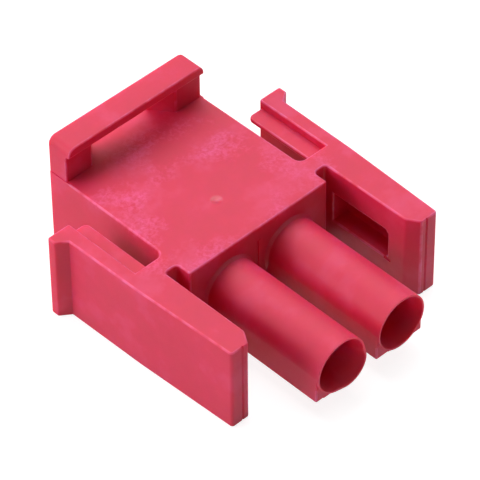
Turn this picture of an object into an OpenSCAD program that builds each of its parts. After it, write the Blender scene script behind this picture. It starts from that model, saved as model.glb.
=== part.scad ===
// Plug housing of a two-way power connector, moulded in one piece.
// Block with two contact silos in front, a latch arm on each side and a strap across the rear.
// Millimetres. +Z is up, the silos point along -Y, and the origin is under the middle of the part.

/* [Block] */
// Width of the block at its front face
block_w = 14.4; // [13.8:0.1:16]
// Draft of each side of the block, front to rear
block_draft = 0.1; // [0:0.02:0.2]
// Length of the block, front face to rear face
block_l = 15.75; // [15:0.25:20]
// Height of the block and of both latch arms
block_h = 7.8; // [7.4:0.1:9]
// Distance of the gate mark behind the front face
gate_y = 4.4; // [3:0.05:8]
// Distance of the gate mark to the left of the middle
gate_x = 0.25; // [0:0.05:2]
// Diameter of the gate mark
gate_d = 1.1; // [0.5:0.1:1.4]
// Depth of the gate mark
gate_depth = 0.12; // [0.05:0.01:0.2]

/* [Silos] */
// Distance between the two silo axes
pitch = 6.35; // [6:0.05:7]
// Length of the silos in front of the block
silo_l = 11.95; // [9:0.05:14]
// Length of the round rim past the keying corners
rim_l = 0.2; // [0.05:0.05:0.5]
// Outside diameter of a silo
silo_d = 4.85; // [4.7:0.05:5.2]
// Height of the silo axes above the underside
axis_h = 3.9; // [3.6:0.05:4.2]
// Radius of the keying lobe under the left silo
lobe_r = 1.85; // [1.7:0.05:2]
// Offset of the lobe from the silo's axis, inwards and down
lobe_off = 0.8; // [0.7:0.05:0.95]
// Width of the bevel where a silo meets the block
root_c = 0.22; // [0.1:0.02:0.4]
// Width of the low rib on the block's front face, between the silos
rib_w = 0.32; // [0.2:0.02:0.6]
// Thickness of the low rib
rib_t = 0.1; // [0.04:0.02:0.3]
// Drop of the low rib's upper end below the top of the block
rib_drop = 1.3; // [0.8:0.05:2]

/* [Contact cavities] */
// Diameter of the front bore, which holds the contact
bore_d = 4.1; // [3.8:0.05:4.3]
// Depth of the front bore behind the block's front face
bore_in = 2; // [1:0.25:3]
// Thickness of a silo's wall at the mouth, where the bore flares
mouth_wall = 0.15; // [0.1:0.01:0.25]
// Length of the flare at the mouth
flare_l = 1.5; // [0.8:0.05:2.5]
// Length of the flare inside the lobe
lobe_flare_l = 3.2; // [2.5:0.05:5]
// Diameter of the locking shoulder inside
shoulder_d = 3.2; // [2.8:0.05:3.6]
// Length of the locking shoulder
shoulder_l = 4; // [2:0.25:6]
// Diameter of the rear bore, where the wire enters
entry_d = 4.3; // [4:0.05:4.6]
// Width of the lead-in chamfer on the rear bore
entry_c = 0.4; // [0.1:0.05:0.6]

/* [Rear strap] */
// Height of the strap above the block
strap_h = 3.45; // [3:0.05:5]
// Width of each post at its front face
post_w = 2.65; // [2:0.05:4]
// Extra width of each post at the rear, which flares the window between them
post_flare = 1.6; // [0:0.05:1.8]
// Thickness of the posts, front to rear
post_t = 1.95; // [1.5:0.05:3]
// Thickness of the top bar
bar_t = 0.86; // [0.6:0.02:1.5]
// Overhang of the top bar in front of the posts
bar_over = 0.42; // [0.1:0.02:0.8]
// Inset of the strap's ends from the sides of the block
strap_inset = 0.04; // [0.02:0.02:0.3]
// Radius of the top bar's upper corners
bar_r = 0.7; // [0.3:0.05:0.8]

/* [Latch arms] */
// Distance of each web behind the block's front face
web_y = 1.42; // [1:0.02:3]
// Thickness of each web, front to rear
web_t = 1.52; // [1:0.02:2.5]
// Width of the slot between block and arm, in front of the web
front_gap = 1.22; // [1:0.02:1.6]
// Width of the slot between block and arm, behind the web
rear_gap = 2.8; // [2.6:0.05:3.4]
// Thickness of the arm behind the web
tail_t = 1.3; // [1:0.05:1.6]
// Length of the arm behind the web
tail_l = 7.36; // [6:0.02:9]
// Reach of the arm in front of the block
arm_reach = 8.2; // [7.2:0.1:9]
// Inward lean of the outer face at the tip
toe_in = 0.5; // [0.2:0.02:0.6]
// Inward lean of the outer face at the web
web_lean = 0.1; // [0:0.02:0.15]
// Length of the chamfer inside the tip
nose_l = 1.1; // [0.6:0.05:1.5]
// Width of the chamfer inside the tip
nose_w = 0.7; // [0.5:0.02:0.9]
// Radius that eases the chamfer into the arm's inner face
nose_r = 0.6; // [0.2:0.05:0.8]
// Width of the thumb hook beyond the arm's outer face
hook_w = 0.9; // [0.5:0.05:1.5]
// Length of the thumb hook along its outer face
hook_l = 0.8; // [0.5:0.05:1.5]
// Length of the slope in front of the thumb hook
hook_slope = 0.65; // [0.3:0.05:1.2]
// Width of the groove down the tip
groove_w = 0.24; // [0.1:0.02:0.4]
// Depth of the groove down the tip
groove_depth = 0.15; // [0.05:0.01:0.2]
// Distance of the groove from the chamfer inside the tip
groove_x = 0.54; // [0.4:0.02:0.9]

/* [Shelves] */
// Width of the shelf inside each arm
shelf_w = 1.5; // [1:0.05:2]
// Thickness of the shelf
shelf_t = 0.4; // [0.3:0.05:0.8]
// Depth of the shelf's upper face below the top of the arm
shelf_drop = 0.7; // [0.4:0.05:1.5]
// Set-back of the shelf from the arm's rear end
shelf_back = 0.25; // [0.1:0.05:1]
// Radius of the shelf's free corner
shelf_r = 0.5; // [0.2:0.05:0.8]

/* [Latch pockets] */
// Depth of the pocket into the arm
pocket_depth = 1.6; // [0.8:0.05:1.7]
// Height of the pocket
pocket_h = 2.85; // [2:0.05:4]
// Depth of the pocket's upper edge below the top of the arm
pocket_drop = 2.45; // [1.5:0.05:3]
// Distance of the pocket's front end from the tip
pocket_tip = 2.95; // [2.5:0.05:3.5]
// Distance of the pocket's rear end in front of the web
pocket_web = 0.9; // [0.5:0.05:1.5]
// Radius of the pocket's front corners
pocket_r = 0.25; // [0.1:0.05:0.5]
// Depth of the relief in front of the pocket
relief_depth = 0.1; // [0.05:0.01:0.2]
// Length of the relief in front of the pocket
relief_l = 0.44; // [0.2:0.02:0.8]
// Drop of the relief below the pocket
relief_drop = 0.22; // [0.1:0.02:0.6]

/* [Edge radii] */
// Corner where the front slot meets the block
slot_block_r = 0.4; // [0.2:0.02:0.5]
// Corner where the front slot meets the arm
slot_arm_r = 0.3; // [0.2:0.02:0.45]
// Corner where the rear slot meets the block
rear_block_r = 0.68; // [0.3:0.02:1]
// Corners of the thumb hook and of the arm's rear end
hook_r = 0.2; // [0.1:0.02:0.3]
// Outer corner of the tip
tip_r = 0.27; // [0.1:0.02:0.3]

/* [Hidden] */
$fn = 64;

nylon_red = [0.87, 0.24, 0.37];
eps = 0.05;                                   // how far a cut passes a face, and a join sinks into one

front_y = (silo_l - block_l) / 2;             // the block's front face, with the part centred in Y
half_w = block_w / 2;

// Half the width of the block at a distance y behind its front face
function side_x(y) = half_w - block_draft * y / block_l;

slot_x = half_w + front_gap;                  // inner face of the arm's front half
tail_x = half_w + rear_gap;                   // inner face of the arm's rear half
arm_x = tail_x + tail_t;                      // outer face of the arm at the thumb hook
hook_x = arm_x + hook_w;
web_end = web_y + web_t;
tail_y = web_end + tail_l;                    // rear end of the arm
pocket_front = pocket_tip - arm_reach;
pocket_top = block_h - pocket_drop;
silo_r = silo_d / 2;
bore_r = bore_d / 2;
entry_r = entry_d / 2;
post_front = block_l - post_t;
rear_half = side_x(block_l);
strap_half = rear_half - strap_inset;

// The arm's outline from above, corner by corner, starting inside the tip
nose_in = [slot_x, nose_l - arm_reach];
nose_out = [slot_x + nose_w, -arm_reach];
tip = [arm_x - toe_in, -arm_reach];
waist = [arm_x - web_lean, web_y];
hook_foot = [arm_x, tail_y - hook_l - hook_slope];
hook_front = [hook_x, tail_y - hook_l];
hook_rear = [hook_x, tail_y];
tail_rear = [tail_x, tail_y];
tail_root = [tail_x, web_end];
web_rear = [side_x(web_end), web_end];
web_front = [side_x(web_y), web_y];
slot_end = [slot_x, web_y];

function unit(v) = v / norm(v);

// The sliver between a sharp corner at p, whose sides run towards a and b, and an arc of radius r
// that touches both sides. Taken away it rounds an outer corner; added it fillets an inner one.
module corner(p, a, b, r) {
    u = unit(a - p);
    v = unit(b - p);
    half_angle = acos(u * v) / 2;
    run = r / tan(half_angle);
    centre = p + unit(u + v) * r / sin(half_angle);
    difference() {
        polygon([p - unit(u + v) * eps, p + u * run, centre, p + v * run]);
        translate(centre) circle(r);
    }
}

module block() {
    linear_extrude(block_h)
        polygon([[-half_w, 0], [half_w, 0], [rear_half, block_l], [-rear_half, block_l]]);
}

module gate_mark() {
    ball_r = (pow(gate_d / 2, 2) + pow(gate_depth, 2)) / (2 * gate_depth);
    translate([-gate_x, gate_y, block_h + ball_r - gate_depth]) sphere(ball_r);
}

// Round lobe below a silo's axis, on one side. The lines that touch both circles join it smoothly.
module lobe(side) {
    middle = [side * lobe_off, -lobe_off];
    lean = acos((silo_r - lobe_r) / norm(middle));
    out = [for (turn = [-lean, lean]) [cos(side * 45 - 90 + turn), sin(side * 45 - 90 + turn)]];
    translate(middle) circle(lobe_r);
    polygon([
        silo_r * out[0], middle + lobe_r * out[0], middle + lobe_r * out[1], silo_r * out[1]
    ]);
}

// Round tube whose keying marks lie below its axis, on each side named: a sharp square corner, or
// a round lobe. Corners stop short of the mouth, so that the rim stands clear of them.
module silo(corners, lobes) {
    translate([0, eps, axis_h]) rotate([90, 0, 0]) {
        linear_extrude(silo_l + eps) {
            circle(silo_r);
            for (side = lobes) lobe(side);
        }
        linear_extrude(silo_l - rim_l + eps)
            for (side = corners) translate([min(side, 0) * silo_r, -silo_r]) square(silo_r);
        rotate_extrude() polygon([
            [0, 0], [silo_r + root_c, 0], [silo_r + root_c, eps], [silo_r, root_c + eps], [0, root_c + eps]
        ]);
    }
}

// Cone that opens from radius narrow, at a given depth inside the mouth, to radius wide at the mouth
module flare(narrow, wide, depth) {
    slope = (wide - narrow) / depth;
    translate([0, 0, silo_l - depth]) cylinder(h = depth + eps, r1 = narrow, r2 = wide + slope * eps);
}

// Stepped hole through silo and block, which flares at the mouth and inside each lobe named
module cavity(lobes) {
    inside_bore = bore_r - lobe_off * sqrt(2) - eps;
    translate([0, 0, axis_h]) rotate([90, 0, 0]) {
        translate([0, 0, -bore_in]) cylinder(h = bore_in + silo_l + eps, r = bore_r);
        flare(bore_r, silo_r - mouth_wall, flare_l);
        for (side = lobes) translate([side * lobe_off, -lobe_off, 0])
            flare(inside_bore, lobe_r - mouth_wall, lobe_flare_l);
        translate([0, 0, -block_l - eps]) cylinder(h = block_l, d = shoulder_d);
        translate([0, 0, -block_l - eps])
            cylinder(h = block_l + eps - bore_in - shoulder_l, r = entry_r);
        translate([0, 0, -block_l - eps])
            cylinder(h = entry_c + eps, r1 = entry_r + entry_c + eps, r2 = entry_r);
    }
}

// Flat bar across the rear on two posts, open between them
module strap() {
    post_h = strap_h - bar_t;
    post_in = strap_half - post_w;
    for (side = [0, 1]) mirror([side, 0, 0])
        translate([0, 0, block_h - eps]) linear_extrude(post_h + 2 * eps) polygon([
            [strap_half, post_front], [strap_half, block_l],
            [post_in - post_flare, block_l], [post_in, post_front]
        ]);
    top = block_h + strap_h;
    translate([0, block_l, 0]) rotate([90, 0, 0]) linear_extrude(post_t + bar_over) difference() {
        translate([-strap_half, top - bar_t]) square([2 * strap_half, bar_t]);
        for (side = [-1, 1])
            corner([side * strap_half, top], [0, top], [side * strap_half, 0], bar_r);
    }
}

module arm_plan() {
    sunk_rear = web_rear - [eps, 0];
    sunk_front = web_front - [eps, 0];
    groove = nose_out + [groove_x, 0];
    difference() {
        polygon([
            nose_in, nose_out, tip, waist, hook_foot, hook_front, hook_rear,
            tail_rear, tail_root, sunk_rear, sunk_front, slot_end
        ]);
        corner(nose_in, slot_end, nose_out, nose_r);
        corner(tip, nose_out, waist, tip_r);
        corner(hook_rear, hook_front, tail_rear, hook_r);
        corner(tail_rear, hook_rear, tail_root, hook_r);
        corner(hook_front, hook_foot, hook_rear, hook_r);
        polygon([
            groove - [groove_w / 2, eps], groove - [groove_w / 2, 0], groove + [0, groove_depth],
            groove + [groove_w / 2, 0], groove + [groove_w / 2, -eps]
        ]);
    }
    corner(web_rear, [rear_half, block_l], tail_root, rear_block_r);
    corner(web_front, [half_w, 0], slot_end, slot_block_r);
    corner(slot_end, web_front, nose_in, slot_arm_r);
}

module face_rib() {
    rib_foot = axis_h - silo_r;
    translate([-rib_w / 2, -rib_t, rib_foot])
        cube([rib_w, rib_t + eps, block_h - rib_drop - rib_foot]);
}

// Thin flange along the inside of the arm, behind the web
module shelf() {
    free = [tail_x - shelf_w, tail_y - shelf_back];
    translate([0, 0, block_h - shelf_drop - shelf_t]) linear_extrude(shelf_t) difference() {
        translate([free.x, web_end - eps]) square([shelf_w + eps, free.y - web_end + eps]);
        corner(free, [tail_x, free.y], [free.x, 0], shelf_r);
    }
}

// Blind pocket that catches the mating latch, with a shallow relief in front of it
module latch_pocket() {
    pocket_l = web_y - pocket_web - pocket_front;
    translate([slot_x - eps, pocket_front, pocket_top]) rotate([90, 0, 90])
        linear_extrude(pocket_depth + eps) difference() {
            translate([0, -pocket_h]) square([pocket_l, pocket_h]);
            corner([0, 0], [0, -1], [1, 0], pocket_r);
            corner([0, -pocket_h], [0, 0], [1, -pocket_h], pocket_r);
        }
    translate([slot_x - eps, pocket_front - relief_l, pocket_top - pocket_h - relief_drop])
        cube([relief_depth + eps, relief_l + pocket_r, pocket_h]);
}

module arm() {
    difference() {
        union() {
            linear_extrude(block_h) arm_plan();
            shelf();
        }
        latch_pocket();
    }
}

module housing() {
    color(nylon_red) translate([0, front_y, 0]) difference() {
        union() {
            block();
            strap();
            face_rib();
            translate([-pitch / 2, 0, 0]) silo([-1], [1]);
            translate([pitch / 2, 0, 0]) silo([-1, 1], []);
            for (side = [0, 1]) mirror([side, 0, 0]) arm();
        }
        translate([-pitch / 2, 0, 0]) cavity([1]);
        translate([pitch / 2, 0, 0]) cavity([]);
        gate_mark();
    }
}

housing();
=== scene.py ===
"""Dresses the moulded plug housing of a two-way power connector, and sets it in a small studio.

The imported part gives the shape. This script eases its sharp edges as a mould does, finishes it
as satin nylon, and adds a pale floor, soft lamps and a camera. Lengths are in metres unless a
name says otherwise. The frame is the part's own: +Z up, the silos along -Y.
"""

import logging
import math
from dataclasses import dataclass, field
from enum import Enum

import bmesh
import bpy
import numpy as np
from mathutils import Matrix, Vector

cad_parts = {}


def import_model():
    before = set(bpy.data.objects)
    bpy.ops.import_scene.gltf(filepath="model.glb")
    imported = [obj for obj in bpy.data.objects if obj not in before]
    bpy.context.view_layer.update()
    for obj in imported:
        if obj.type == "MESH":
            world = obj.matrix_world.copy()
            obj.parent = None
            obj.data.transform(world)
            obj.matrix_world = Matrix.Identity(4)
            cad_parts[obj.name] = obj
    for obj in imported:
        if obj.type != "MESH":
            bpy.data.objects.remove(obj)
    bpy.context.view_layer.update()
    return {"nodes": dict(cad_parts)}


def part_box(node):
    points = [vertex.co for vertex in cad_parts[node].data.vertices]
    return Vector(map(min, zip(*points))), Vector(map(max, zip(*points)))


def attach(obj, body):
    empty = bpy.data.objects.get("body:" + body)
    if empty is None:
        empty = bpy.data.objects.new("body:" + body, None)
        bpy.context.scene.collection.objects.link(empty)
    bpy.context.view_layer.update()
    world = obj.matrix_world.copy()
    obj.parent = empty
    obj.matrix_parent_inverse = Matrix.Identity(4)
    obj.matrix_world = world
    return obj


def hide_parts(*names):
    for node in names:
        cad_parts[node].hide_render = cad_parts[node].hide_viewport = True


MM = 0.001
EASED_MARK = "eased_edge"
EASED_SLOT = 1
LOG = logging.getLogger("plug_housing")

Colour = tuple[float, float, float]
Triple = tuple[float, float, float]
Span = tuple[float, float]


def direction(azimuth_deg: float, elevation_deg: float) -> Vector:
    """Gives the unit vector that points from the part to a place in the studio.

    Its level part is the cosine of the elevation, and turns from -Y towards +X with the
    azimuth. Its height is the sine of the elevation.

    Args:
        azimuth_deg: The angle round the part, 0 in front of it and 90 on its right.
        elevation_deg: The angle above the floor.

    Returns:
        The unit vector.
    """
    turn, rise = math.radians(azimuth_deg), math.radians(elevation_deg)
    return Vector(
        (math.sin(turn) * math.cos(rise), -math.cos(turn) * math.cos(rise), math.sin(rise))
    )


def grey(level: float) -> tuple[float, float, float, float]:
    """Gives a neutral colour of a given level."""
    return (level, level, level, 1.0)


class Mesher:
    """Puts arrays of points into Blender meshes."""

    @staticmethod
    def rings(name: str, points: np.ndarray) -> bpy.types.Object:
        """Makes a mesh of four-sided faces over closed rings of points.

        Point j of ring i is number i * columns + j. Each face joins points j and j + 1 of one
        ring to those of the next, and the last point of a ring is followed by its first.

        Args:
            name: The object's name.
            points: Array of shape (rings, points in a ring, 3), in metres.

        Returns:
            The new object, linked to the scene, at the origin.
        """
        rows, columns = points.shape[:2]
        row, column = np.meshgrid(np.arange(rows - 1), np.arange(columns), indexing="ij")
        after = (column + 1) % columns
        faces = np.stack(
            [
                row * columns + column,
                (row + 1) * columns + column,
                (row + 1) * columns + after,
                row * columns + after,
            ],
            axis=-1,
        ).reshape(-1, 4)
        mesh = bpy.data.meshes.new(name)
        mesh.from_pydata(points.reshape(-1, 3).tolist(), [], faces.tolist())
        mesh.update()
        made = bpy.data.objects.new(name, mesh)
        bpy.context.scene.collection.objects.link(made)
        return made


class Seen(Enum):
    """The rays that see the studio as plain white."""

    CAMERA = "Is Camera Ray"
    GLOSSY = "Is Glossy Ray"
    TRANSMISSION = "Is Transmission Ray"


@dataclass(frozen=True)
class Clouds:
    """A cloud pattern: its clouds to a millimetre, and its finer layers and their strength."""

    per_mm: float
    layers: float
    strength: float
    distortion: float = 0.0


class NodeSheet:
    """A short way to write the node tree of a material or of the world."""

    def __init__(self, owner: "bpy.types.Material | bpy.types.World") -> None:
        """Turns on the nodes of a new material or world, and empties its tree.

        Args:
            owner: The material or world.
        """
        owner.use_nodes = True
        self.tree = owner.node_tree
        self.tree.nodes.clear()

    def add(self, kind: str, **settings: object) -> bpy.types.Node:
        """Adds a node.

        Args:
            kind: The node's Blender type name.
            **settings: Properties of the node to set.

        Returns:
            The new node.
        """
        node = self.tree.nodes.new(kind)
        for key, value in settings.items():
            setattr(node, key, value)
        return node

    def join(self, source: bpy.types.NodeSocket, target: bpy.types.NodeSocket) -> None:
        """Links a source socket to a target socket."""
        self.tree.links.new(source, target)

    def seen(self) -> bpy.types.NodeSocket:
        """Tells the rays that see the studio as plain white from the rest.

        Returns:
            The socket of a value that is 1 for each kind of ray in Seen, else 0.
        """
        path = self.add("ShaderNodeLightPath")
        value = path.outputs[Seen.CAMERA.value]
        for kind in (Seen.GLOSSY, Seen.TRANSMISSION):
            value = self.maths("MAXIMUM", value, path.outputs[kind.value])
        return value

    def maths(
        self,
        operation: str,
        first: bpy.types.NodeSocket,
        second: "bpy.types.NodeSocket | float" = 0.0,
        clamp: bool = False,
    ) -> bpy.types.NodeSocket:
        """Works out a sum on two values.

        Args:
            operation: Blender's name of the operation.
            first: The first value.
            second: The second value, a socket or a number.
            clamp: Whether the result is kept from 0 to 1.

        Returns:
            The socket of the result.
        """
        node = self.add("ShaderNodeMath", operation=operation, use_clamp=clamp)
        self.join(first, node.inputs[0])
        if isinstance(second, bpy.types.NodeSocket):
            self.join(second, node.inputs[1])
        else:
            node.inputs[1].default_value = second
        return node.outputs[0]

    def add_share(
        self,
        value: bpy.types.NodeSocket,
        added: bpy.types.NodeSocket,
        share: float,
        clamp: bool = False,
    ) -> bpy.types.NodeSocket:
        """Adds a share of one value to another.

        Args:
            value: The socket of the value.
            added: The socket of the value that it gains a share of.
            share: The share, which may be negative.
            clamp: Whether the result is kept from 0 to 1.

        Returns:
            The socket of the result.
        """
        return self.maths("ADD", value, self.maths("MULTIPLY", added, share), clamp)

    def spread(
        self, value: bpy.types.NodeSocket, source: Span, target: Span
    ) -> bpy.types.NodeSocket:
        """Carries a value from one span to another, smoothly and clamped.

        Args:
            value: The socket of the value.
            source: The span that it comes from.
            target: The span that it goes to.

        Returns:
            The socket of the result.
        """
        node = self.add("ShaderNodeMapRange", interpolation_type="SMOOTHSTEP")
        self.join(value, node.inputs["Value"])
        node.inputs["From Min"].default_value, node.inputs["From Max"].default_value = source
        node.inputs["To Min"].default_value, node.inputs["To Max"].default_value = target
        return node.outputs["Result"]

    def mix(
        self,
        share: bpy.types.NodeSocket,
        first: bpy.types.NodeSocket,
        second: bpy.types.NodeSocket,
    ) -> bpy.types.NodeSocket:
        """Mixes two shaders.

        Args:
            share: The socket of the second shader's share.
            first: The socket of the first shader.
            second: The socket of the second shader.

        Returns:
            The socket of the mixed shader.
        """
        node = self.add("ShaderNodeMixShader")
        for source, target in zip((share, first, second), node.inputs):
            self.join(source, target)
        return node.outputs[0]

    def noise(self, place: bpy.types.NodeSocket, clouds: Clouds) -> bpy.types.NodeSocket:
        """Adds a cloud pattern.

        Args:
            place: The socket of the position, in millimetres.
            clouds: The pattern.

        Returns:
            The socket of the pattern's value, about 0.5 on average.
        """
        node = self.add("ShaderNodeTexNoise", noise_dimensions="3D")
        self.join(place, node.inputs["Vector"])
        node.inputs["Scale"].default_value = clouds.per_mm
        node.inputs["Detail"].default_value = clouds.layers
        node.inputs["Roughness"].default_value = clouds.strength
        node.inputs["Distortion"].default_value = clouds.distortion
        return node.outputs["Fac"]


@dataclass(frozen=True)
class NylonFinish:
    """Satin raspberry nylon, straight from the mould. Lengths are in millimetres."""

    # Its red, from the deepest tone, 0, to the palest, 1.
    deep: Colour = (0.61, 0.002, 0.042)
    plain: Colour = (0.72, 0.003, 0.070)
    pale: Colour = (0.85, 0.080, 0.270)
    plain_tone: float = 0.5

    # Its shine, which the grain and the flecks dull, and the gate mark and edges polish.
    ior: float = 1.51
    roughness: float = 0.60
    grain_dullness: float = 0.03
    fleck_dullness: float = 0.05
    gate_polish: float = 0.26
    edge_polish: float = 0.16

    # How much light enters the plastic, how far it goes, and which part of it comes out.
    glow: float = 0.90
    glow_reach: float = 0.9
    glow_colours: Colour = (1.0, 0.06, 0.08)

    # The clouds, the grain and the ripple, which lie over all of it.
    cloud: Clouds = Clouds(per_mm=0.32, layers=3.0, strength=0.5)
    cloud_span: Span = (0.30, 0.70)
    cloud_tones: Span = (0.32, 0.60)
    grain: Clouds = Clouds(per_mm=11.0, layers=2.0, strength=0.5)
    grain_span: Span = (0.3, 0.7)
    grain_relief: float = 0.003
    ripple: Clouds = Clouds(per_mm=0.55, layers=1.0, strength=0.4)
    ripple_relief: float = 0.05

    # The flow's flecks, in patches on top of the block, in a ring round the gate.
    fleck: Clouds = Clouds(per_mm=2.8, layers=5.0, strength=0.68, distortion=0.35)
    fleck_span: Span = (0.34, 0.68)
    fleck_paleness: float = 0.34
    fleck_relief: float = 0.006
    patch: Clouds = Clouds(per_mm=0.42, layers=2.0, strength=0.5)
    patch_span: Span = (0.36, 0.60)
    patch_marks: Span = (0.15, 1.0)
    near_reach: Span = (3.2, 5.2)
    near_marks: Span = (0.05, 1.0)
    far_reach: Span = (8.5, 10.5)
    far_marks: Span = (1.0, 0.12)
    marked_heights: Span = (7.0, 7.8)
    height_marks: Span = (0.1, 1.0)

    # The painted highlight, paler and uneven along the eased edges, and the rim of the gate mark.
    edge_highlight_clouds: Clouds = Clouds(per_mm=0.9, layers=2.0, strength=0.5)
    edge_highlight_span: Span = (0.35, 0.62)
    edge_highlight_shares: Span = (0.35, 1.0)
    edge_highlight_paleness: float = 0.42
    gate_rim: Span = (0.42, 0.58)

    def make(self, gate: Vector) -> bpy.types.Material:
        """Builds the nylon's material.

        The plastic enters at the gate and spreads over the block. Round the gate it stays
        calm, and in a ring further out the flow leaves pale flecks in patches. Over all of it
        lie slow clouds in the colour, a slow ripple in the surface and a fine grain.

        Args:
            gate: The place of the gate mark, in metres.

        Returns:
            The material.
        """
        nylon = bpy.data.materials.new("satin_nylon")
        sheet = NodeSheet(nylon)
        place = self._place_mm(sheet)
        cloud = sheet.noise(place, self.cloud)
        fleck = sheet.noise(place, self.fleck)
        grain = sheet.noise(place, self.grain)
        ripple = sheet.noise(place, self.ripple)
        away = self._away(sheet, place, gate)
        marked = self._marked(sheet, place, away)
        flecks = sheet.maths("MULTIPLY", sheet.spread(fleck, self.fleck_span, (0.0, 1.0)), marked)
        edge_highlight = self._edge_highlight(sheet, place)

        tone = sheet.spread(cloud, self.cloud_span, self.cloud_tones)
        tone = sheet.add_share(tone, flecks, self.fleck_paleness)
        # Painted highlight: the eased edges are made paler, unevenly along them, as if they caught
        # the light.
        tone = sheet.add_share(tone, edge_highlight, self.edge_highlight_paleness, clamp=True)
        ramp = sheet.add("ShaderNodeValToRGB")
        ramp.color_ramp.elements[0].color = (*self.deep, 1.0)
        ramp.color_ramp.elements[1].color = (*self.pale, 1.0)
        ramp.color_ramp.elements.new(self.plain_tone).color = (*self.plain, 1.0)
        sheet.join(tone, ramp.inputs["Fac"])

        least, most = self.roughness - self.grain_dullness, self.roughness + self.grain_dullness
        dullness = sheet.spread(grain, self.grain_span, (least, most))
        dullness = sheet.add_share(dullness, flecks, self.fleck_dullness)
        dullness = sheet.maths("ADD", dullness, self._polish(sheet, away))
        dullness = sheet.add_share(dullness, edge_highlight, -self.edge_polish)

        slow = self._bump(sheet, ripple, self.ripple_relief, None)
        middle = self._bump(sheet, flecks, self.fleck_relief, slow)
        fine = self._bump(sheet, grain, self.grain_relief, middle)

        shader = sheet.add("ShaderNodeBsdfPrincipled")
        shader.inputs["IOR"].default_value = self.ior
        shader.inputs["Subsurface Weight"].default_value = self.glow
        shader.inputs["Subsurface Radius"].default_value = self.glow_colours
        shader.inputs["Subsurface Scale"].default_value = self.glow_reach * MM
        sheet.join(ramp.outputs["Color"], shader.inputs["Base Color"])
        sheet.join(dullness, shader.inputs["Roughness"])
        sheet.join(fine, shader.inputs["Normal"])
        output = sheet.add("ShaderNodeOutputMaterial")
        sheet.join(shader.outputs["BSDF"], output.inputs["Surface"])
        return nylon

    @staticmethod
    def _place_mm(sheet: NodeSheet) -> bpy.types.NodeSocket:
        """Reads the position on the object.

        Args:
            sheet: The node tree.

        Returns:
            The socket of the position, in millimetres.
        """
        coordinates = sheet.add("ShaderNodeTexCoord")
        mapping = sheet.add("ShaderNodeMapping")
        mapping.inputs["Scale"].default_value = (1 / MM, 1 / MM, 1 / MM)
        sheet.join(coordinates.outputs["Object"], mapping.inputs["Vector"])
        return mapping.outputs["Vector"]

    @staticmethod
    def _away(
        sheet: NodeSheet, place: bpy.types.NodeSocket, gate: Vector
    ) -> bpy.types.NodeSocket:
        """Measures how far a position is from the gate.

        Args:
            sheet: The node tree.
            place: The socket of the position, in millimetres.
            gate: The place of the gate mark, in metres.

        Returns:
            The socket of the distance, in millimetres.
        """
        away = sheet.add("ShaderNodeVectorMath", operation="DISTANCE")
        sheet.join(place, away.inputs[0])
        away.inputs[1].default_value = tuple(gate / MM)
        return away.outputs["Value"]

    def _edge_highlight(self, sheet: NodeSheet, place: bpy.types.NodeSocket) -> bpy.types.NodeSocket:
        """Says where the painted highlight lies: only on the eased edges, and unevenly along them.

        Args:
            sheet: The node tree.
            place: The socket of the position, in millimetres.

        Returns:
            The socket of a value from 0 to 1.
        """
        mark = sheet.add("ShaderNodeAttribute", attribute_name=EASED_MARK)
        uneven = sheet.spread(sheet.noise(place, self.edge_highlight_clouds), self.edge_highlight_span, self.edge_highlight_shares)
        return sheet.maths("MULTIPLY", mark.outputs["Fac"], uneven)

    def _polish(self, sheet: NodeSheet, away: bpy.types.NodeSocket) -> bpy.types.NodeSocket:
        """Gives how much the gate mark's hollow is smoother than the rest, as a negative value."""
        return sheet.spread(away, self.gate_rim, (-self.gate_polish, 0.0))

    def _marked(
        self, sheet: NodeSheet, place: bpy.types.NodeSocket, away: bpy.types.NodeSocket
    ) -> bpy.types.NodeSocket:
        """Says how marked the surface is by the flow.

        Args:
            sheet: The node tree.
            place: The socket of the position, in millimetres.
            away: The socket of the distance from the gate, in millimetres.

        Returns:
            The socket of a value near 0 round the gate, far from it and low down, and up to 1
            between, in patches.
        """
        rise = sheet.spread(away, self.near_reach, self.near_marks)
        fall = sheet.spread(away, self.far_reach, self.far_marks)
        patch = sheet.spread(sheet.noise(place, self.patch), self.patch_span, self.patch_marks)
        split = sheet.add("ShaderNodeSeparateXYZ")
        sheet.join(place, split.inputs[0])
        high = sheet.spread(split.outputs["Z"], self.marked_heights, self.height_marks)
        ring = sheet.maths("MULTIPLY", rise, fall)
        return sheet.maths("MULTIPLY", ring, sheet.maths("MULTIPLY", patch, high))

    @staticmethod
    def _bump(
        sheet: NodeSheet,
        height: bpy.types.NodeSocket,
        relief_mm: float,
        under: "bpy.types.NodeSocket | None",
    ) -> bpy.types.NodeSocket:
        """Raises the surface by a pattern.

        Args:
            sheet: The node tree.
            height: The socket of the pattern.
            relief_mm: How high a step of 1 in the pattern stands, in millimetres.
            under: The socket of the normal that it is added to.

        Returns:
            The socket of the new normal.
        """
        bump = sheet.add("ShaderNodeBump")
        bump.inputs["Strength"].default_value = 1.0
        bump.inputs["Distance"].default_value = relief_mm * MM
        sheet.join(height, bump.inputs["Height"])
        if under is not None:
            sheet.join(under, bump.inputs["Normal"])
        return bump.outputs["Normal"]


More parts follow.
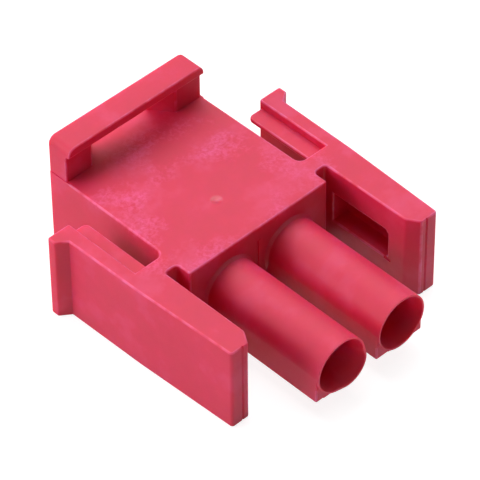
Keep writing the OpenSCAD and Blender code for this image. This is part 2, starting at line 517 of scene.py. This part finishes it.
@dataclass(frozen=True)
class EdgeEasing:
    """How the mould rounds sharp edges. Lengths are in millimetres.

    Attributes:
        radius: The radius of the rounding.
        steps: The number of facets across it.
        crease_deg: The angle past which an edge is sharp.
        split_deg: The angle past which the shading breaks at an edge.
        room_needed: The gap to the next sharp edge that rounding needs.
        run: The longest piece of an edge that is eased as one.
        sliver: The width up to which a long facet is a sliver.
        sliver_length: The length past which a facet is long.
        faint_deg: The angle up to which a sliver joins its neighbour.
        samples: The places along an edge where its room is measured.
        sideways: How much of a gap may run along the edge.
        flat_weight: How strongly the large flats lead the shading, 50 being evenly.
    """

    radius: float = 0.14
    steps: int = 3
    crease_deg: float = 34.0
    split_deg: float = 42.0
    room_needed: float = 0.32
    run: float = 0.8
    sliver: float = 0.16
    sliver_length: float = 3.0
    faint_deg: float = 15.0
    samples: Span = (0.25, 0.75)
    sideways: float = 0.6
    flat_weight: int = 100

    def drop_slivers(self, shape: bmesh.types.BMesh) -> None:
        """Joins each long sliver beside a crease to the facet on its other side.

        Args:
            shape: The mesh, in millimetres, which is changed.
        """
        faint = math.radians(self.faint_deg)
        joined = []
        for face in shape.faces:
            longs = [edge for edge in face.edges if edge.calc_length() > self.sliver_length]
            if len(longs) < 2 or face.calc_area() / longs[0].calc_length() > self.sliver:
                continue
            angles = [edge.calc_face_angle(0.0) for edge in longs]
            if max(angles) > faint > min(angles):
                joined.append(longs[angles.index(min(angles))])
        bmesh.ops.dissolve_edges(shape, edges=list(dict.fromkeys(joined)))

    def split(self, shape: bmesh.types.BMesh) -> None:
        """Cuts each long sharp edge into runs, so that each run is eased by its own room.

        Args:
            shape: The mesh, in millimetres, which is changed.
        """
        crease = math.radians(self.crease_deg)
        for edge in list(shape.edges):
            cuts = math.ceil(edge.calc_length() / self.run) - 1
            if cuts > 0 and edge.calc_face_angle(0.0) > crease:
                bmesh.ops.subdivide_edges(shape, edges=[edge], cuts=cuts)

    def weights(self, shape: bmesh.types.BMesh) -> np.ndarray:
        """Says which edges are eased.

        An edge is eased where it is sharp and stands out, where no other sharp edge runs
        beside it within the room needed, and where both faces reach further from it than the
        radius.

        Args:
            shape: The mesh, in millimetres.

        Returns:
            For each edge 1.0 or 0.0.
        """
        for part in (shape.verts, shape.edges, shape.faces):
            part.index_update()
            part.ensure_lookup_table()
        points = np.array([vert.co for vert in shape.verts])
        ends = np.array([[vert.index for vert in edge.verts] for edge in shape.edges])
        angles = np.array([edge.calc_face_angle(0.0) for edge in shape.edges])
        sharp = np.nonzero(angles > math.radians(self.crease_deg))[0]
        reach = np.array([self._reach(shape.edges[index]) for index in sharp])
        roomy = self._room(points, ends[sharp]) >= self.room_needed
        outer = np.array([shape.edges[index].is_convex for index in sharp])
        weights = np.zeros(len(ends))
        weights[sharp] = roomy & outer & (reach > self.radius)
        return weights

    @staticmethod
    def _reach(edge: bmesh.types.BMEdge) -> float:
        """Measures how far the narrower of an edge's faces reaches from the edge's line.

        The part along the edge is taken away from the path to each corner, and what is left
        is the corner's distance from the line.

        Args:
            edge: The edge.

        Returns:
            The distance of the face's furthest corner, in millimetres.
        """
        start = np.array(edge.verts[0].co)
        along = np.array(edge.verts[1].co) - start
        along /= np.linalg.norm(along)
        reaches = []
        for face in edge.link_faces:
            away = np.array([vert.co for vert in face.verts]) - start
            away -= np.outer(away @ along, along)
            reaches.append(np.linalg.norm(away, axis=1).max())
        return min(reaches)

    def _room(self, points: np.ndarray, ends: np.ndarray) -> np.ndarray:
        """Measures the room beside each sharp edge.

        From a few points on the edge the nearest point of every other sharp edge is found,
        by clamping the projection onto it. Edges that touch the edge, and gaps that run
        along it instead of sideways, don't count.

        Args:
            points: Positions of all the points.
            ends: The two point numbers of each sharp edge.

        Returns:
            The smallest gap of each edge, in millimetres.
        """
        start, run = points[ends[:, 0]], points[ends[:, 1]] - points[ends[:, 0]]
        length = np.linalg.norm(run, axis=1)
        touching = (ends[:, None, :, None] == ends[None, :, None, :]).any((2, 3))
        room = np.full(len(ends), np.inf)
        for share in self.samples:
            away = (start + run * share)[:, None, :] - start[None]
            near = np.clip(np.einsum("ijk,jk->ij", away, run) / length**2, 0.0, 1.0)
            gap = away - near[..., None] * run[None]
            size = np.linalg.norm(gap, axis=2)
            along = np.abs(np.einsum("ijk,ik->ij", gap, run / length[:, None]))
            counts = ~touching & (along < self.sideways * size)
            room = np.minimum(room, np.where(counts, size, np.inf).min(axis=1))
        return room


@dataclass
class MouldedHousing:
    """The housing's one moulding, with its edges eased. Lengths are in millimetres.

    Attributes:
        node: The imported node's name.
        same_point: The distance up to which two points are one.
        flat_deg: The angle up to which two facets are one flat.
        front_share: The share of the part's length that lies in front of the block.
        block_top: The height of the block's top.
        gate_from_front: The distance from the block's front to the gate mark.
        gate_left: How far left of the middle the gate mark lies.
        easing: How the edges are rounded.
        finish: What the plastic looks like.
    """

    node: str = "housing"
    same_point: float = 0.0005
    flat_deg: float = 0.25
    front_share: float = 0.4314
    block_top: float = 7.8
    gate_from_front: float = 4.4
    gate_left: float = 0.25
    easing: EdgeEasing = field(default_factory=EdgeEasing)
    finish: NylonFinish = field(default_factory=NylonFinish)

    def build(self, cad: bpy.types.Object) -> bpy.types.Object:
        """Makes the eased moulding and gives it its finish.

        Args:
            cad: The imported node, which is left as it is.

        Returns:
            The finished piece.
        """
        piece = self._merged_copy(cad)
        self._ease_edges(piece)
        piece.data.materials.clear()
        piece.data.materials.append(self.finish.make(self._gate()))
        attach(piece, "root")
        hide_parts(self.node)
        return piece

    def _gate(self) -> Vector:
        """Works out the place of the gate mark on top of the block.

        The block's front face lies a fixed share of the part's length behind the mouths, and
        the mark is measured from that face and from the middle.

        Returns:
            The place, in metres.
        """
        low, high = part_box(self.node)
        block_front = low.y + (high.y - low.y) * self.front_share
        away = Vector((-self.gate_left, self.gate_from_front, self.block_top)) * MM
        return Vector((0.0, block_front, 0.0)) + away

    def _merged_copy(self, cad: bpy.types.Object) -> bpy.types.Object:
        """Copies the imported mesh, in millimetres, with its points merged and its flats whole.

        Args:
            cad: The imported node.

        Returns:
            The copy, which carries a weight on each edge that is to be eased.
        """
        shape = bmesh.new()
        shape.from_mesh(cad.data)
        bmesh.ops.scale(shape, vec=(1 / MM, 1 / MM, 1 / MM), verts=shape.verts)
        bmesh.ops.remove_doubles(shape, verts=shape.verts, dist=self.same_point)
        bmesh.ops.dissolve_limit(
            shape,
            angle_limit=math.radians(self.flat_deg),
            verts=shape.verts,
            edges=shape.edges,
        )
        self.easing.drop_slivers(shape)
        self.easing.split(shape)
        weights = self.easing.weights(shape)
        mesh = bpy.data.meshes.new("moulded_housing")
        shape.to_mesh(mesh)
        shape.free()
        kept = mesh.attributes.new("bevel_weight_edge", "FLOAT", "EDGE")
        kept.data.foreach_set("value", weights.astype(np.float32))
        piece = bpy.data.objects.new("moulded_housing", mesh)
        bpy.context.scene.collection.objects.link(piece)
        return piece

    def _ease_edges(self, piece: bpy.types.Object) -> None:
        """Rounds the weighted edges, evens the shading over the flats, and goes back to metres.

        Args:
            piece: The copy, whose mesh is replaced.
        """
        bevel = piece.modifiers.new("eased_edges", "BEVEL")
        bevel.width = self.easing.radius
        bevel.segments = self.easing.steps
        bevel.limit_method = "WEIGHT"
        bevel.use_clamp_overlap = False
        bevel.material = EASED_SLOT
        for _ in range(EASED_SLOT + 1):
            piece.data.materials.append(None)
        self._apply(piece)
        self._mark_eased(piece.data)
        self._split_shading(piece.data)
        evened = piece.modifiers.new("even_shading", "WEIGHTED_NORMAL")
        evened.mode = "FACE_AREA"
        evened.weight = self.easing.flat_weight
        evened.keep_sharp = True
        self._apply(piece)
        self._straighten_shading(piece.data)
        piece.data.transform(Matrix.Scale(MM, 4))

    @staticmethod
    def _mark_eased(mesh: bpy.types.Mesh) -> None:
        """Marks the faces that easing made, which came in a material slot of their own.

        Args:
            mesh: The mesh, which is left with the mark and with no slots.
        """
        slots = np.empty(len(mesh.polygons), np.int32)
        mesh.polygons.foreach_get("material_index", slots)
        eased = (slots == EASED_SLOT).astype(np.float32)
        mark = mesh.attributes.new(EASED_MARK, "FLOAT", "FACE")
        mark.data.foreach_set("value", eased)
        LOG.info("%d of %d faces lie on eased edges", int(eased.sum()), len(eased))
        mesh.polygons.foreach_set("material_index", np.zeros_like(slots))
        mesh.materials.clear()

    def _split_shading(self, mesh: bpy.types.Mesh) -> None:
        """Smooths the shading everywhere but across the edges that stay sharp.

        Args:
            mesh: The mesh, which is changed.
        """
        mesh.shade_smooth()
        shape = bmesh.new()
        shape.from_mesh(mesh)
        limit = math.radians(self.easing.split_deg)
        for edge in shape.edges:
            edge.smooth = edge.calc_face_angle(0.0) < limit
        shape.to_mesh(mesh)
        shape.free()

    def _straighten_shading(self, mesh: bpy.types.Mesh) -> None:
        """Shades each corner as its own face lies, where the evened shading strays from it.

        Args:
            mesh: The mesh, which is changed.
        """
        evened = np.empty(len(mesh.loops) * 3, np.float32)
        mesh.corner_normals.foreach_get("vector", evened)
        evened = evened.reshape(-1, 3)
        faces = np.empty(len(mesh.polygons) * 3, np.float32)
        mesh.polygon_normals.foreach_get("vector", faces)
        sides = np.empty(len(mesh.polygons), np.int32)
        mesh.polygons.foreach_get("loop_total", sides)
        own = np.repeat(faces.reshape(-1, 3), sides, axis=0)
        limit = math.cos(math.radians(self.easing.split_deg))
        astray = (evened * own).sum(axis=1) < limit
        evened[astray] = own[astray]
        mesh.normals_split_custom_set(evened.tolist())

    @staticmethod
    def _apply(piece: bpy.types.Object) -> None:
        """Puts a piece's modifiers into its mesh.

        Args:
            piece: The piece, whose mesh is replaced.
        """
        graph = bpy.context.evaluated_depsgraph_get()
        piece.data = bpy.data.meshes.new_from_object(piece.evaluated_get(graph))
        piece.data.name = piece.name
        piece.modifiers.clear()


@dataclass
class Stage:
    """A pale floor that keeps a soft shadow, under a white surround.

    Attributes:
        radius: The floor's radius.
        inner_share: The size of the hole in its middle, as a share of its radius.
        rings: The number of rings of points in it.
        sides: The number of points in a ring.
        clearance_mm: How far it lies below the part.
        bounce: How pale it is to the light that it throws back.
        shown_shade: How strongly it shows the lamps' light and the part's shadow.
        shown_white: The white that this is added to.
        fade: The distances between which that white grows to full white.
        sky_white: The level of the surround where it is looked at.
        sky_level: The level of the surround as a light.
    """

    radius: float = 1.6
    inner_share: float = 1e-4
    rings: int = 24
    sides: int = 96
    clearance_mm: float = 0.03
    bounce: float = 0.90
    shown_shade: float = 0.34
    shown_white: float = 0.88
    fade: Span = (0.10, 0.35)
    sky_white: float = 1.0
    sky_level: float = 0.05

    def build(self) -> None:
        """Lays the floor and sets the surround."""
        floor = Mesher.rings("studio_floor", self._disc())
        floor.data.materials.append(self._floor_finish())
        self._surround()

    def _disc(self) -> np.ndarray:
        """Works out the floor: each ring's radius grows with the square of its number.

        Returns:
            Points of shape (rings, sides, 3), from a tiny inner ring outwards.
        """
        step = np.linspace(0.0, 1.0, self.rings)[:, None]
        angle = np.linspace(0.0, 2 * np.pi, self.sides, endpoint=False)[None, :]
        reach = self.radius * (self.inner_share + step**2)
        height = np.full_like(reach * angle, -self.clearance_mm * MM)
        return np.stack([reach * np.cos(angle), reach * np.sin(angle), height], axis=-1)

    def _floor_finish(self) -> bpy.types.Material:
        """Makes the floor's material: pale to the light, white to look at, and clear from below.

        Far from the lamps it is as white as the surround, so that no edge shows.

        Returns:
            The material.
        """
        cover = bpy.data.materials.new("studio_floor")
        sheet = NodeSheet(cover)
        plain = sheet.add("ShaderNodeBsdfDiffuse")
        plain.inputs["Color"].default_value = grey(self.bounce)
        shaded = sheet.add("ShaderNodeBsdfDiffuse")
        shaded.inputs["Color"].default_value = grey(self.shown_shade)
        white = sheet.add("ShaderNodeEmission")
        place = sheet.add("ShaderNodeTexCoord")
        away = sheet.add("ShaderNodeVectorMath", operation="LENGTH")
        sheet.join(place.outputs["Object"], away.inputs[0])
        whiteness = sheet.spread(away.outputs["Value"], self.fade, (self.shown_white, 1.0))
        sheet.join(whiteness, white.inputs["Strength"])
        shown = sheet.add("ShaderNodeAddShader")
        sheet.join(shaded.outputs[0], shown.inputs[0])
        sheet.join(white.outputs[0], shown.inputs[1])
        mixed = sheet.mix(sheet.seen(), plain.outputs[0], shown.outputs[0])
        clear = sheet.add("ShaderNodeBsdfTransparent")
        side = sheet.add("ShaderNodeNewGeometry")
        both = sheet.mix(side.outputs["Backfacing"], mixed, clear.outputs[0])
        output = sheet.add("ShaderNodeOutputMaterial")
        sheet.join(both, output.inputs["Surface"])
        return cover

    def _surround(self) -> None:
        """Sets the world: white where it is looked at, and weaker where it lights the part."""
        world = bpy.data.worlds.new("studio_surround")
        sheet = NodeSheet(world)
        level = sheet.spread(sheet.seen(), (0.0, 1.0), (self.sky_level, self.sky_white))
        light = sheet.add("ShaderNodeBackground")
        light.inputs["Color"].default_value = grey(1.0)
        sheet.join(level, light.inputs["Strength"])
        output = sheet.add("ShaderNodeOutputWorld")
        sheet.join(light.outputs[0], output.inputs["Surface"])
        bpy.context.scene.world = world


@dataclass(frozen=True)
class SoftLamp:
    """A square softbox that faces the part. Its light grows with its level and its area."""

    name: str
    azimuth_deg: float
    elevation_deg: float
    size: float
    level: float
    distance: float = 0.60

    def place(self, aim: Vector) -> None:
        """Hangs the lamp.

        Args:
            aim: The point that it faces.
        """
        away = direction(self.azimuth_deg, self.elevation_deg)
        lamp = bpy.data.lights.new(self.name, "AREA")
        lamp.shape = "SQUARE"
        lamp.size = self.size
        lamp.energy = self.level * math.pi * self.size**2
        hung = bpy.data.objects.new(self.name, lamp)
        hung.location = aim + away * self.distance
        hung.rotation_euler = away.to_track_quat("Z", "Y").to_euler()
        bpy.context.scene.collection.objects.link(hung)


@dataclass(frozen=True)
class ViewCamera:
    """A long lens that looks down on the part from its front left."""

    azimuth_deg: float = -43.544
    elevation_deg: float = 43.942
    roll_deg: float = -0.639
    distance_mm: float = 276.32
    slide_mm: Span = (-1.464, -0.970)
    lens_mm: float = 275.5
    sensor_mm: float = 36.0
    aim_mm: Triple = (0.0, -1.9, 7.8)
    clip_m: Span = (0.01, 20.0)

    def place(self) -> None:
        """Sets the camera up and makes it the scene's own.

        It stands back from the aim along its direction, rolls about that line, and slides
        level and upwards, which frames the part without turning the view.
        """
        turn, roll = math.radians(self.azimuth_deg), math.radians(self.roll_deg)
        back = direction(self.azimuth_deg, self.elevation_deg)
        level = Vector((math.cos(turn), math.sin(turn), 0.0))
        steep = back.cross(level)
        right = level * math.cos(roll) + steep * math.sin(roll)
        up = steep * math.cos(roll) - level * math.sin(roll)
        spot = Vector(self.aim_mm) + back * self.distance_mm
        spot += level * self.slide_mm[0] + steep * self.slide_mm[1]
        lens = bpy.data.cameras.new("view_camera")
        lens.lens = self.lens_mm
        lens.sensor_width = self.sensor_mm
        lens.sensor_fit = "HORIZONTAL"
        lens.clip_start, lens.clip_end = self.clip_m
        camera = bpy.data.objects.new("view_camera", lens)
        turned = Matrix((right, up, back)).transposed().to_4x4()
        camera.matrix_world = Matrix.Translation(spot * MM) @ turned
        bpy.context.scene.collection.objects.link(camera)
        bpy.context.scene.camera = camera


@dataclass
class Studio:
    """The floor, the lamps and the camera."""

    stage: Stage = field(default_factory=Stage)
    camera: ViewCamera = field(default_factory=ViewCamera)
    lamps: tuple[SoftLamp, ...] = (
        SoftLamp("rear_softbox", azimuth_deg=165.0, elevation_deg=62.0, size=0.46, level=3.7),
        SoftLamp("left_softbox", azimuth_deg=-128.0, elevation_deg=22.0, size=0.34, level=6.0),
        SoftLamp("right_softbox", azimuth_deg=100.0, elevation_deg=50.0, size=0.34, level=3.3),
    )

    def build(self, aim: Vector) -> None:
        """Sets up the studio.

        Args:
            aim: The middle of the part.
        """
        self.camera.place()
        self.stage.build()
        for lamp in self.lamps:
            lamp.place(aim)
        bpy.context.scene.view_settings.view_transform = "Standard"


def main() -> None:
    """Builds the scene and reports each piece."""
    logging.basicConfig(level=logging.INFO, format="%(name)s: %(message)s")
    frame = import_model()
    housing = MouldedHousing()
    piece = housing.build(frame["nodes"][housing.node])
    LOG.info("%s: %d faces", piece.name, len(piece.data.polygons))
    low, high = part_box(housing.node)
    Studio().build((low + high) / 2)
    LOG.info("studio: floor, lamps and camera")


if __name__ == "__main__":
    main()
